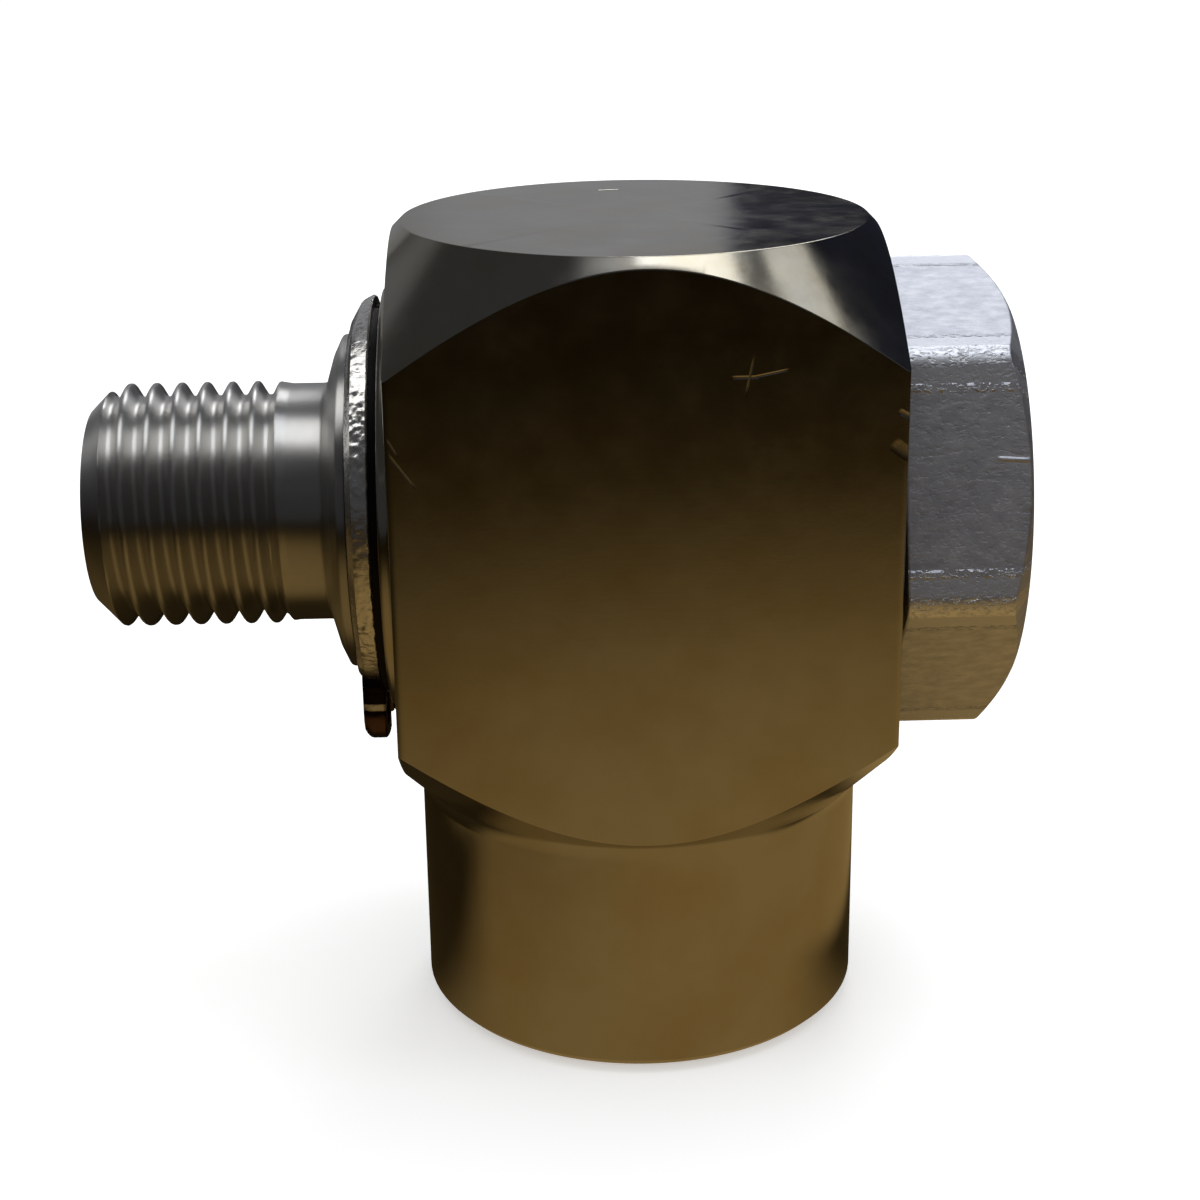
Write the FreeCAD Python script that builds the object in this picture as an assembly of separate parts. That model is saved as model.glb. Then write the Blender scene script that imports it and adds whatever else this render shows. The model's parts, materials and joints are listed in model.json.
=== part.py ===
"""Hydraulic swivel fitting: a square brass body with a female port turns on a steel stem.

Millimetres, +Z up. The origin is the centre of the port's mouth, at the foot of the neck.
The stem lies along X at the height of the stem axis: thread towards -X, hexagon head towards +X.
"""
import FreeCAD, Part
import os
from math import cos, pi, radians, sin, sqrt, tan

# Body
BODY_ACROSS_FLATS = 25.0
BODY_EDGE_RADIUS = 0.4
STEM_AXIS_HEIGHT = 28.0
TOP_ABOVE_AXIS = 15.0
TOP_FACE_D = 24.0
CORNER_CONE_ANGLE = 45.0
NECK_D = 24.0
NECK_LENGTH = 12.7
NECK_FILLET = 1.6
NECK_MOUTH_CHAMFER = 0.5
BORE_LEAD_IN = 0.4
BOSS_D = 22.6
BOSS_HEIGHT = 0.6
BOSS_EDGE_BREAK = 0.2

# Female port in the neck
PORT_THREAD_MINOR_D = 11.445
PORT_MOUTH_D = 13.4
PORT_DEPTH = 14.0
BODY_PASSAGE_D = 7.0
DRILL_POINT_ANGLE = 118.0

# Stem outside the body
THREAD_END_FROM_NECK_AXIS = 28.6
THREAD_MAJOR_D = 12.91
THREAD_MINOR_D = 11.445
THREAD_PITCH = 1.337
THREAD_CREST_WIDTH = 0.25
THREAD_ROOT_WIDTH = 0.25
THREAD_LENGTH = 10.5
THREAD_END_CHAMFER = 1.3
THREAD_GROOVES = 7
SHANK_D = 12.6
SHOULDER_CONE_LENGTH = 0.51
SHOULDER_CONE_D = 15.9
SHOULDER_BREAK_LENGTH = 0.42
JOURNAL_END_LAND = 0.5
HEAD_SIDES = 6
HEAD_ACROSS_FLATS = 22.0
HEAD_HEIGHT = 6.35
HEAD_CORNER_RADIUS = 1.2
HEAD_END_FACE_D = 21.3
HEAD_CHAMFER_ANGLE = 30.0
HEAD_TURN_ANGLE = 18.1

# Stem inside the body
JOURNAL_D = 18.0
RUNNING_CLEARANCE = 0.04
STEM_BORE_D = 7.0
SEAT_CONE_D = 9.6
SEAT_CONE_ANGLE = 60.0
STEM_BORE_PAST_CROSS_HOLES = 1.0
CROSS_HOLE_D = 5.0
CROSS_HOLE_COUNT = 4
GALLERY_SIDE_MARGIN = 0.7
GALLERY_DEPTH = 1.6
SEAL_LAND = 1.0
SEAL_GROOVE_DEPTH = 1.65
SEAL_SIDE_GAP = 0.03
SEAT_GAP = 0.03

# Seals
O_RING_SECTION_D = 2.0
O_RING_BEVEL = 0.5
BACKUP_RING_THICKNESS = 1.1
BACKUP_RING_CUT_WIDTH = 0.25
BACKUP_RING_CUT_ANGLE = 30.0

# Washers
THRUST_WASHER_WIDTH = 1.5
THRUST_WASHER_THICKNESS = 1.0
THRUST_WASHER_PROUD = 0.2
WASHER_BORE_CLEARANCE = 0.08
WASHER_RECESS_CLEARANCE = 0.05
SUPPORT_WASHER_WIDTH = 1.1
SUPPORT_WASHER_THICKNESS = 0.8
AXIAL_PLAY = 0.05

# Circlip
CIRCLIP_THICKNESS = 1.2
CIRCLIP_GROOVE_DEPTH = 0.5
CIRCLIP_SIDE_PLAY = 0.05
CIRCLIP_BACK_WIDTH = 2.4
CIRCLIP_END_WIDTH = 1.5
CIRCLIP_GAP = 2.4
CIRCLIP_LUG_WIDTH = 3.7
CIRCLIP_LUG_REACH = 4.25
CIRCLIP_LUG_OUTER_CORNER = 1.6
CIRCLIP_LUG_INNER_CORNER = 0.5
CIRCLIP_LUG_HOLE_D = 2.0
CIRCLIP_ROLLED_EDGE_LENGTH = 0.55
CIRCLIP_ROLLED_EDGE_DEPTH = 0.95
CIRCLIP_LUG_EDGE_BREAK = 0.4

# Radii and places that follow from the sizes above
half_flats = BODY_ACROSS_FLATS / 2
corner_reach = half_flats * sqrt(2)
body_height = STEM_AXIS_HEIGHT + TOP_ABOVE_AXIS
journal_r = JOURNAL_D / 2
bore_r = journal_r + RUNNING_CLEARANCE
washer_inner_r = journal_r + WASHER_BORE_CLEARANCE
thrust_washer_r = washer_inner_r + THRUST_WASHER_WIDTH
recess_r = thrust_washer_r + WASHER_RECESS_CLEARANCE
recess_floor = half_flats + THRUST_WASHER_PROUD - THRUST_WASHER_THICKNESS
thrust_face = recess_floor + THRUST_WASHER_THICKNESS
seat_face = thrust_face + AXIAL_PLAY
circlip_face = seat_face + SUPPORT_WASHER_THICKNESS
circlip_groove_start = circlip_face - CIRCLIP_SIDE_PLAY
circlip_groove_end = circlip_face + CIRCLIP_THICKNESS + CIRCLIP_SIDE_PLAY
circlip_groove_r = journal_r - CIRCLIP_GROOVE_DEPTH
journal_end = circlip_groove_end + JOURNAL_END_LAND
gallery_half = CROSS_HOLE_D / 2 + GALLERY_SIDE_MARGIN
seal_bottom_r = journal_r - SEAL_GROOVE_DEPTH
seal_inner_r = seal_bottom_r + SEAT_GAP
seal_height = journal_r - seal_inner_r
o_ring_width = (pi * O_RING_SECTION_D ** 2 / 4 + 2 * O_RING_BEVEL ** 2) / seal_height
seal_groove_start = gallery_half + SEAL_LAND
seal_stack = [BACKUP_RING_THICKNESS, o_ring_width, BACKUP_RING_THICKNESS]
seal_groove_width = sum(seal_stack) + (len(seal_stack) + 1) * SEAL_SIDE_GAP
seal_groove_end = seal_groove_start + seal_groove_width
drill_slope = tan(radians(DRILL_POINT_ANGLE / 2))

X_AXIS = FreeCAD.Vector(1, 0, 0)
Z_AXIS = FreeCAD.Vector(0, 0, 1)
FULL_TURN = 360
OVERCUT = 1.0
MATCH = 0.01
HEAD_END = 1
CIRCLIP_END = -1


def outline_edges(points, roundings):
    """Edges of a closed outline, with each corner rounded by its radius, or sharp where that is 0."""
    stops = []
    edges = []
    for k, (point, radius) in enumerate(zip(points, roundings)):
        before = (points[k - 1] - point).normalize()
        after = (points[(k + 1) % len(points)] - point).normalize()
        if not radius:
            stops.append((point, point))
            continue
        half_corner = before.getAngle(after) / 2
        tangent = radius / tan(half_corner)
        inward = (before + after).normalize()
        middle = point + inward * (radius / sin(half_corner) - radius)
        stops.append((point + before * tangent, point + after * tangent))
        edges.append(Part.Arc(stops[-1][0], middle, stops[-1][1]).toShape())
    for k, (start, end) in enumerate(stops):
        edges.append(Part.LineSegment(stops[k - 1][1], start).toShape())
    return edges


def turned(corners, axis):
    """Solid of revolution; each corner is (x, z), or (x, z, radius of its rounding)."""
    points = [FreeCAD.Vector(x, 0, z) for x, z, *_ in corners]
    roundings = [sum(rounding) for _, _, *rounding in corners]
    edges = Part.sortEdges(outline_edges(points, roundings))[0]
    return Part.Face(Part.Wire(edges)).revolve(FreeCAD.Vector(), axis, FULL_TURN)


def turned_about_z(corners):
    """Turned shape from (radius, height) corners."""
    return turned(corners, Z_AXIS)


def turned_about_stem(corners):
    """Turned shape about the stem axis, from (place along X, radius) corners."""
    return turned(corners, X_AXIS)


def ring_about_stem(start, end, inner_r, outer_r):
    """Plain ring from start to end along X."""
    return turned_about_stem([(start, inner_r), (end, inner_r), (end, outer_r), (start, outer_r)])


def rod_along_x(radius, start, end, y=0.0, z=0.0):
    """Round rod along X, on the stem axis or beside it."""
    return Part.makeCylinder(radius, end - start, FreeCAD.Vector(start, y, z), X_AXIS)


def edges_at(shape, direction, places):
    """Straight edges along a direction whose middle, seen along it, lies near one of the places."""
    found = []
    for edge in shape.Edges:
        middle = edge.CenterOfMass
        run = edge.Vertexes[-1].Point - edge.Vertexes[0].Point
        along = run.cross(direction).Length < MATCH and run.Length > MATCH
        off_axis = middle - direction * middle.dot(direction)
        if along and any(off_axis.distanceToPoint(place) < MATCH for place in places):
            found.append(edge)
    return found


def arcs_at(shape, radius, x):
    """Arcs of a radius that lie in the plane across the stem at x."""
    return [edge for edge in shape.Edges
            if edge.Curve.TypeId == "Part::GeomCircle" and abs(edge.Curve.Radius - radius) < MATCH
            and abs(edge.BoundBox.XMax - x) < MATCH and abs(edge.BoundBox.XMin - x) < MATCH]


def square_bar(height):
    """Square bar with its long edges broken."""
    bar = Part.makeBox(BODY_ACROSS_FLATS, BODY_ACROSS_FLATS, height,
                       FreeCAD.Vector(-half_flats, -half_flats, 0))
    corners = [FreeCAD.Vector(x, y, 0) for x in (-half_flats, half_flats)
               for y in (-half_flats, half_flats)]
    return bar.makeFillet(BODY_EDGE_RADIUS, edges_at(bar, Z_AXIS, corners))


def turned_body_outline():
    """What the lathe leaves of the bar: neck, cone under the corners, cone over them, top face."""
    slope = tan(radians(CORNER_CONE_ANGLE))
    neck_r = NECK_D / 2
    top_r = TOP_FACE_D / 2
    blank_r = corner_reach + OVERCUT
    return turned_about_z([
        (0, 0),
        (neck_r - NECK_MOUTH_CHAMFER, 0),
        (neck_r, NECK_MOUTH_CHAMFER),
        (neck_r, NECK_LENGTH, NECK_FILLET),
        (blank_r, NECK_LENGTH + (blank_r - neck_r) * slope),
        (blank_r, body_height - (blank_r - top_r) * slope),
        (top_r, body_height),
        (0, body_height)])


def port_and_passage():
    """Tapped hole in the neck with its countersunk mouth, and the drilling on to the bore."""
    minor_r = PORT_THREAD_MINOR_D / 2
    mouth_r = PORT_MOUTH_D / 2
    passage_r = BODY_PASSAGE_D / 2
    return turned_about_z([
        (0, -OVERCUT),
        (mouth_r, -OVERCUT),
        (mouth_r, 0),
        (minor_r, mouth_r - minor_r),
        (minor_r, PORT_DEPTH),
        (passage_r, PORT_DEPTH + (minor_r - passage_r) / drill_slope),
        (passage_r, STEM_AXIS_HEIGHT),
        (0, STEM_AXIS_HEIGHT)])


def stem_bore_in_body():
    """Bore for the journal, with a lead-in and a washer recess at each end, about the stem axis."""
    head_end = [
        (recess_floor - BORE_LEAD_IN, bore_r),
        (recess_floor, bore_r + BORE_LEAD_IN),
        (recess_floor, recess_r),
        (half_flats + OVERCUT, recess_r),
        (half_flats + OVERCUT, 0)]
    circlip_end = [(-x, r) for x, r in reversed(head_end)]
    return turned_about_stem(circlip_end + head_end)


def on_stem_axis(shape):
    """Shape modelled about X, lifted to the height of the stem axis."""
    return shape.translated(FreeCAD.Vector(0, 0, STEM_AXIS_HEIGHT))


def boss():
    """Low round boss about the stem, on the side of the body that faces the circlip."""
    face = -half_flats - BOSS_HEIGHT
    boss_r = BOSS_D / 2
    return turned_about_stem([
        (face, 0),
        (OVERCUT - half_flats, 0),
        (OVERCUT - half_flats, boss_r),
        (face + BOSS_EDGE_BREAK, boss_r),
        (face, boss_r - BOSS_EDGE_BREAK)])


def body():
    blank = square_bar(body_height).common(turned_body_outline())
    blank = blank.fuse(on_stem_axis(boss())).removeSplitter()
    return blank.cut(port_and_passage()).cut(on_stem_axis(stem_bore_in_body()))


def hexagon_head():
    """Hexagon with rounded corners, and a turned chamfer on its outer end."""
    corner_r = HEAD_ACROSS_FLATS / 2 / cos(pi / HEAD_SIDES)
    end_r = HEAD_END_FACE_D / 2
    angles = [radians(HEAD_TURN_ANGLE + FULL_TURN * (k + 0.5) / HEAD_SIDES) for k in range(HEAD_SIDES)]
    corners = [FreeCAD.Vector(0, -corner_r * cos(a), corner_r * sin(a)) for a in angles]
    base = [point + X_AXIS * seat_face for point in corners]
    prism = Part.Face(Part.makePolygon(base + base[:1])).extrude(X_AXIS * HEAD_HEIGHT)
    prism = prism.makeFillet(HEAD_CORNER_RADIUS, edges_at(prism, X_AXIS, corners))
    head_end = seat_face + HEAD_HEIGHT
    drop = (corner_r - end_r) * tan(radians(HEAD_CHAMFER_ANGLE))
    return prism.common(turned_about_stem([
        (seat_face, 0),
        (seat_face, corner_r),
        (head_end - drop, corner_r),
        (head_end, end_r),
        (head_end, 0)]))


def stem_turning():
    """Thread blank, shank, shoulder cone and journal with its grooves, up to the head's seat."""
    thread_r = THREAD_MAJOR_D / 2
    shank_r = SHANK_D / 2
    thread_end = -THREAD_END_FROM_NECK_AXIS
    thread_start = thread_end + THREAD_LENGTH
    gallery_r = journal_r - GALLERY_DEPTH
    grooves = [
        (-circlip_groove_end, -circlip_groove_start, circlip_groove_r),
        (-seal_groove_end, -seal_groove_start, seal_bottom_r),
        (-gallery_half, gallery_half, gallery_r),
        (seal_groove_start, seal_groove_end, seal_bottom_r)]
    points = [
        (thread_end, 0),
        (thread_end, thread_r - THREAD_END_CHAMFER),
        (thread_end + THREAD_END_CHAMFER, thread_r),
        (thread_start, thread_r),
        (thread_start + thread_r - shank_r, shank_r),
        (-journal_end - SHOULDER_BREAK_LENGTH - SHOULDER_CONE_LENGTH, shank_r),
        (-journal_end - SHOULDER_BREAK_LENGTH, SHOULDER_CONE_D / 2),
        (-journal_end, journal_r)]
    for start, end, bottom_r in grooves:
        points += [(start, journal_r), (start, bottom_r), (end, bottom_r), (end, journal_r)]
    points += [(seat_face, journal_r), (seat_face, 0)]
    return turned_about_stem(points)


def thread_grooves():
    """Grooves between the thread's crests, as plain rings a pitch apart that end at the thread's start."""
    crest_r = THREAD_MAJOR_D / 2
    root_r = THREAD_MINOR_D / 2
    top_half = (THREAD_PITCH - THREAD_CREST_WIDTH) / 2
    root_half = THREAD_ROOT_WIDTH / 2
    flank = (top_half - root_half) / (crest_r - root_r)
    cut_r = crest_r + MATCH
    cut_half = top_half + MATCH * flank
    last = THREAD_LENGTH - THREAD_END_FROM_NECK_AXIS - THREAD_CREST_WIDTH - top_half
    groove = turned_about_stem([
        (last - cut_half, cut_r),
        (last - root_half, root_r),
        (last + root_half, root_r),
        (last + cut_half, cut_r)])
    return [groove.translated(X_AXIS * -THREAD_PITCH * k) for k in range(THREAD_GROOVES)]


def stem_drillings():
    """Blind bore from the thread end, with the sealing cone at its mouth, and the cross holes."""
    drill_r = STEM_BORE_D / 2
    cone_r = SEAT_CONE_D / 2
    start = -THREAD_END_FROM_NECK_AXIS
    end = CROSS_HOLE_D / 2 + STEM_BORE_PAST_CROSS_HOLES
    drilled = turned_about_stem([
        (start - OVERCUT, 0),
        (start - OVERCUT, cone_r),
        (start, cone_r),
        (start + (cone_r - drill_r) / tan(radians(SEAT_CONE_ANGLE / 2)), drill_r),
        (end, drill_r),
        (end + drill_r / drill_slope, 0)])
    for k in range(CROSS_HOLE_COUNT):
        angle = radians(HEAD_TURN_ANGLE + FULL_TURN * k / CROSS_HOLE_COUNT)
        outward = FreeCAD.Vector(0, -cos(angle), sin(angle))
        hole = Part.makeCylinder(CROSS_HOLE_D / 2, journal_r, FreeCAD.Vector(), outward)
        drilled = drilled.fuse(hole)
    return drilled


def stem():
    blank = stem_turning().fuse(hexagon_head()).removeSplitter()
    return blank.cut(thread_grooves()).cut(stem_drillings())


def circlip():
    """Tapered open ring with two drilled lugs at its gap, which points down; punching rolled one edge."""
    inner_r = circlip_groove_r + SEAT_GAP
    back_r = circlip_groove_r + CIRCLIP_BACK_WIDTH
    end_r = circlip_groove_r + CIRCLIP_END_WIDTH
    lug_r = circlip_groove_r + CIRCLIP_LUG_REACH
    start = -circlip_face - CIRCLIP_THICKNESS
    end = -circlip_face
    plate = rod_along_x((back_r + end_r) / 2, start, end, z=(back_r - end_r) / 2)
    for side in (-1, 1):
        near = side * CIRCLIP_GAP / 2
        far = near + side * CIRCLIP_LUG_WIDTH
        lug = Part.makeBox(CIRCLIP_THICKNESS, CIRCLIP_LUG_WIDTH, lug_r,
                           FreeCAD.Vector(start, min(near, far), -lug_r))
        lug = lug.common(rod_along_x(lug_r, start, end))
        for y, radius in ((near, CIRCLIP_LUG_INNER_CORNER), (far, CIRCLIP_LUG_OUTER_CORNER)):
            corner = FreeCAD.Vector(0, y, -sqrt(lug_r ** 2 - y ** 2))
            lug = lug.makeFillet(radius, edges_at(lug, X_AXIS, [corner]))
        plate = plate.fuse(lug)
    gap = Part.makeBox(CIRCLIP_THICKNESS + 2 * OVERCUT, CIRCLIP_GAP, lug_r + OVERCUT,
                       FreeCAD.Vector(start - OVERCUT, -CIRCLIP_GAP / 2, -lug_r - OVERCUT))
    clip = plate.removeSplitter().cut(rod_along_x(inner_r, start - OVERCUT, end + OVERCUT)).cut(gap)
    hole_y = (CIRCLIP_GAP + CIRCLIP_LUG_WIDTH) / 2
    hole_z = -(inner_r + lug_r) / 2
    for side in (-1, 1):
        clip = clip.cut(rod_along_x(CIRCLIP_LUG_HOLE_D / 2, start - OVERCUT, end + OVERCUT,
                                    side * hole_y, hole_z))
    rolled = arcs_at(clip, (back_r + end_r) / 2, start)
    clip = clip.makeChamfer(CIRCLIP_ROLLED_EDGE_LENGTH, CIRCLIP_ROLLED_EDGE_DEPTH, rolled)
    return clip.makeChamfer(CIRCLIP_LUG_EDGE_BREAK, arcs_at(clip, lug_r, start))


def support_washer():
    outer_r = washer_inner_r + SUPPORT_WASHER_WIDTH
    return ring_about_stem(-circlip_face, -seat_face, washer_inner_r, outer_r)


def thrust_washer(side):
    ends = sorted((side * recess_floor, side * thrust_face))
    return ring_about_stem(ends[0], ends[1], washer_inner_r, thrust_washer_r)


def o_ring(side):
    """Rubber ring as squeezed in its groove: the free section's area, flat where it is pressed."""
    middle = side * (seal_groove_start + seal_groove_end) / 2
    left = middle - o_ring_width / 2
    right = middle + o_ring_width / 2
    return turned_about_stem([
        (left, seal_inner_r + O_RING_BEVEL),
        (left + O_RING_BEVEL, seal_inner_r),
        (right - O_RING_BEVEL, seal_inner_r),
        (right, seal_inner_r + O_RING_BEVEL),
        (right, journal_r - O_RING_BEVEL),
        (right - O_RING_BEVEL, journal_r),
        (left + O_RING_BEVEL, journal_r),
        (left, journal_r - O_RING_BEVEL)])


def backup_ring(side, inner):
    """Flat plastic ring beside the rubber ring, cut through at a slant so that it can be sprung in."""
    if inner:
        near = seal_groove_start + SEAL_SIDE_GAP
    else:
        near = seal_groove_end - SEAL_SIDE_GAP - BACKUP_RING_THICKNESS
    ends = sorted((side * near, side * (near + BACKUP_RING_THICKNESS)))
    ring = ring_about_stem(ends[0], ends[1], seal_inner_r, journal_r)
    length = 2 * (BACKUP_RING_THICKNESS + OVERCUT)
    cut = Part.makeBox(length, BACKUP_RING_CUT_WIDTH, journal_r + OVERCUT,
                       FreeCAD.Vector(-length / 2, -BACKUP_RING_CUT_WIDTH / 2, 0))
    cut.rotate(FreeCAD.Vector(), Z_AXIS, BACKUP_RING_CUT_ANGLE)
    cut.translate(X_AXIS * (ends[0] + ends[1]) / 2)
    return ring.cut(cut)


pieces = {
    "body": body(),
    "stem": on_stem_axis(stem()),
    "circlip": on_stem_axis(circlip()),
    "support_washer": on_stem_axis(support_washer())}
for end_name, side in (("circlip_end", CIRCLIP_END), ("head_end", HEAD_END)):
    pieces["thrust_washer_" + end_name] = on_stem_axis(thrust_washer(side))
    pieces["o_ring_" + end_name] = on_stem_axis(o_ring(side))
    pieces["backup_ring_inner_" + end_name] = on_stem_axis(backup_ring(side, inner=True))
    pieces["backup_ring_outer_" + end_name] = on_stem_axis(backup_ring(side, inner=False))

os.makedirs("parts", exist_ok=True)
for name, shape in pieces.items():
    solid = shape.Solids[0]
    solid.exportStep("parts/" + name + ".step")
    print(name, "solids", len(shape.Solids), "valid", solid.isValid(),
          "volume mm3", round(solid.Volume, 2))
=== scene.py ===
"""Looks of the hydraulic swivel fitting: nickel-plated brass body on a turned steel stem.

Sizes are in millimetres and become metres where a mesh is made. X runs along the stem, Z up the port.
"""
import json
from math import acos, asin, cos, degrees, hypot, pi, radians, sin, sqrt, tan

import bmesh
import bpy
from mathutils import Matrix, Vector, noise


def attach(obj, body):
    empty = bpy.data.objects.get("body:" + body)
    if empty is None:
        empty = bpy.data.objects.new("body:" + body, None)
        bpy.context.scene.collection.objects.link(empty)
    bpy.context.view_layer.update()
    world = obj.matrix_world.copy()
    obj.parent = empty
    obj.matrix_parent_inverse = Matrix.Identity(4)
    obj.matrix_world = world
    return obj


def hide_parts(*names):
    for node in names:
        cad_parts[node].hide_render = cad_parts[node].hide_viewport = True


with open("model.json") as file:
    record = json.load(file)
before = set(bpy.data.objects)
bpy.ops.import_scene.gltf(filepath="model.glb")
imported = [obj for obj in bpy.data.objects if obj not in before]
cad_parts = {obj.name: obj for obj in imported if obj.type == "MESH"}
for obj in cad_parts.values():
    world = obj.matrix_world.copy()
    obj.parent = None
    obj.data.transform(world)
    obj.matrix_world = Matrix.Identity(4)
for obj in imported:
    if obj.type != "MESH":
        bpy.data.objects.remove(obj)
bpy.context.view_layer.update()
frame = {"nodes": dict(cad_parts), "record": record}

MM = 0.001
MERGE_DISTANCE = 1e-8
SHARP_ANGLE = radians(35)
OVERCUT = 1
CAP_R = 1

STEM_AXIS_HEIGHT = 28.0
BODY_HALF = 12.5
BODY_EDGE_RADIUS = 0.25
BODY_HEIGHT = 43.0
TOP_FACE_R = 12.0
NECK_R = 12.0
NECK_LENGTH = 12.7
NECK_ROOT_RADIUS = 1.6
NECK_MOUTH_CHAMFER = 0.5
PORT_MOUTH_R = 6.7
PORT_DEPTH = 14.0
PASSAGE_R = 3.5
BORE_R = 9.04
BORE_LEAD_IN = 0.4
RECESS_R = 10.63
RECESS_FLOOR = 11.7
BOSS_R = 11.3
BOSS_FACE = 13.1
BOSS_EDGE_RADIUS = 0.2
BOSS_ROOT_RADIUS = 0.2
DRILL_SLOPE = tan(radians(59))
BROKEN_EDGE = 0.12
SOFT_EDGE = 0.06

THREAD_PITCH = 1.337
THREAD_MINOR_R = 5.7225
THREAD_MAJOR_R = 6.5785
FLANK_SLOPE = tan(radians(27.5))
CREST_HALF_WIDTH = 0.115
THREAD_SOFTNESS = 0.18
PORT_THREAD_END = 12.8
PORT_RUN_OUT = 1.3
STEM_CREST_R = 6.455
STEM_ROOT_R = THREAD_MINOR_R + 0.02
STEM_RUN_OUT = 0.9
STEM_END = -28.6
STEM_THREAD_LENGTH = 10.5
STEM_END_CHAMFER = 1.3
CREST_AT_TOP = -26.62
SHANK_R = 6.3
# Corners from the shank to the circlip's groove: x, radius and rounding.
SHOULDER = [(-16.23, 6.3, 0.25), (-15.72, 7.95, 0.6), (-15.3, 8.82, 0.2), (-14.86, 8.88, 0.08)]
JOURNAL_R = 9.0
STEM_BORE_R = 3.5
STEM_BORE_END = 3.5
SEAT_CONE_R = 4.8
SEAT_CONE_SLOPE = tan(radians(30))
CROSS_HOLE_R = 2.5
# Grooves: start, end and radius at the bottom.
CIRCLIP_GROOVE = (-14.8, -13.5, 8.5)
SEAL_GROOVES = [(-8.77, -4.2, 7.35), (-3.2, 3.2, 7.4), (4.2, 8.77, 7.35)]
GROOVE_EDGE = 0.05
CIRCLIP_GROOVE_BREAK = 0.06
HEAD_SEAT = 12.75
HEAD_HEIGHT = 6.35
HEAD_APOTHEM = 11.0
HEAD_CORNER_RADIUS = 1.2
HEAD_END_FACE_R = 10.65
HEAD_CHAMFER_SLOPE = tan(radians(30))
HEAD_EDGE = 0.15
HEAD_TURN = 18.1

CIRCLIP_LEFT = -14.75
CIRCLIP_THICKNESS = 1.2
CIRCLIP_INNER_R = 8.53
CIRCLIP_R = 10.45
CIRCLIP_RISE = 0.45
CIRCLIP_GAP = 2.4
LUG_R = 12.75
LUG_SIDE = 4.9
LUG_OUTER_CORNER = 1.6
LUG_INNER_CORNER = 0.5
# Holes for pliers: distance from the middle plane, height and radius.
LUG_HOLE = (3.05, 17.36, 1.0)
LUGS_BELOW_SINE = -0.8

TENT_R = 600
TABLE_LEVEL = -0.1
FLOOR_LEVEL = -0.3
FLOOR_REACH = 3000

CAMERA_PLACE = (-5.150, -113.145, 61.485)
CAMERA_YAW, CAMERA_PITCH, CAMERA_ROLL = 0.027763, 0.335328, -0.013303
FOCAL_LENGTH_PIXELS = 2197.7
PHOTO_PIXELS = 1200
SENSOR_WIDTH = 36


def linear(code):
    """Linear colour of an sRGB hex value."""
    parts = [int(code[k:k + 2], 16) / 255 for k in (1, 3, 5)]
    return [c / 12.92 if c <= 0.04045 else ((c + 0.055) / 1.055) ** 2.4 for c in parts] + [1]


def node(tree, kind, sockets=None, **settings):
    """Adds a node with its settings; a socket takes a plain value, an output or a node's first output."""
    made = tree.nodes.new(kind)
    for name, value in settings.items():
        setattr(made, name, value)
    for name, value in (sockets or {}).items():
        if isinstance(value, bpy.types.Node):
            value = next(output for output in value.outputs if output.enabled)
        if isinstance(value, bpy.types.NodeSocket):
            tree.links.new(value, made.inputs[name])
        else:
            made.inputs[name].default_value = value
    return made


def turned_piece(name, angles, profile, spot):
    """Closed mesh about an axis: profile gives the (along, radius) points of the section at an angle."""
    columns = [[spot(along, r, angle) for along, r in profile(angle)] for angle in angles]
    rows = len(columns[0])
    faces = []
    for k in range(len(columns)):
        here = k * rows
        there = (k + 1) % len(columns) * rows
        faces += [(here + j, here + j + 1, there + j + 1, there + j) for j in range(rows - 1)]
    mesh = bpy.data.meshes.new(name)
    mesh.from_pydata([Vector(p) * MM for column in columns for p in column], [], faces)
    work = bmesh.new()
    work.from_mesh(mesh)
    bmesh.ops.remove_doubles(work, verts=work.verts, dist=MERGE_DISTANCE)
    bmesh.ops.recalc_face_normals(work, faces=work.faces)
    work.to_mesh(mesh)
    work.free()
    piece = bpy.data.objects.new(name, mesh)
    bpy.context.scene.collection.objects.link(piece)
    return piece


def about_port(along, r, angle):
    """Place at a height on the port's axis, a distance from it and an angle about it."""
    return (r * cos(angle), r * sin(angle), along)


def about_stem(along, r, angle):
    """Place along the stem's axis, a distance from it and an angle up from the front."""
    return (along, -r * cos(angle), STEM_AXIS_HEIGHT + r * sin(angle))


def broken(corners):
    """Section with each corner (along, radius, rounding) drawn as a short arc where it has a rounding."""
    narrowest, longest_share = 0.1, 0.45
    points = []
    for k, (along, r, rounding) in enumerate(corners):
        if not rounding:
            points.append((along, r))
            continue
        corner = Vector((along, r))
        before = Vector(corners[k - 1][:2]) - corner
        after = Vector(corners[k + 1][:2]) - corner
        reach = rounding / tan(max(before.angle(after) / 2, narrowest))
        reach = min(reach, before.length * longest_share, after.length * longest_share)
        start = corner + before.normalized() * reach
        end = corner + after.normalized() * reach
        for t in (0, 1 / 3, 2 / 3, 1):
            points.append(tuple(start * (1 - t) ** 2 + corner * 2 * t * (1 - t) + end * t ** 2))
    return points


def rod(start, end, r):
    """Section of a plain round rod."""
    return [(start, 0), (start, r), (end, r), (end, 0)]


def even_turn(count):
    """Angles of a full turn in equal steps."""
    return [2 * pi * k / count for k in range(count)]


def bake_modifiers(piece):
    """Makes a piece's mesh what its modifiers show, and takes them off."""
    graph = bpy.context.evaluated_depsgraph_get()
    piece.data = bpy.data.meshes.new_from_object(piece.evaluated_get(graph))
    piece.modifiers.clear()


def boolean(piece, operation, other):
    """Applies a Boolean with another piece, which is then deleted."""
    step = piece.modifiers.new("step", "BOOLEAN")
    step.operation = operation
    step.solver = "EXACT"
    step.object = other
    bake_modifiers(piece)
    bpy.data.objects.remove(other)


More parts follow.
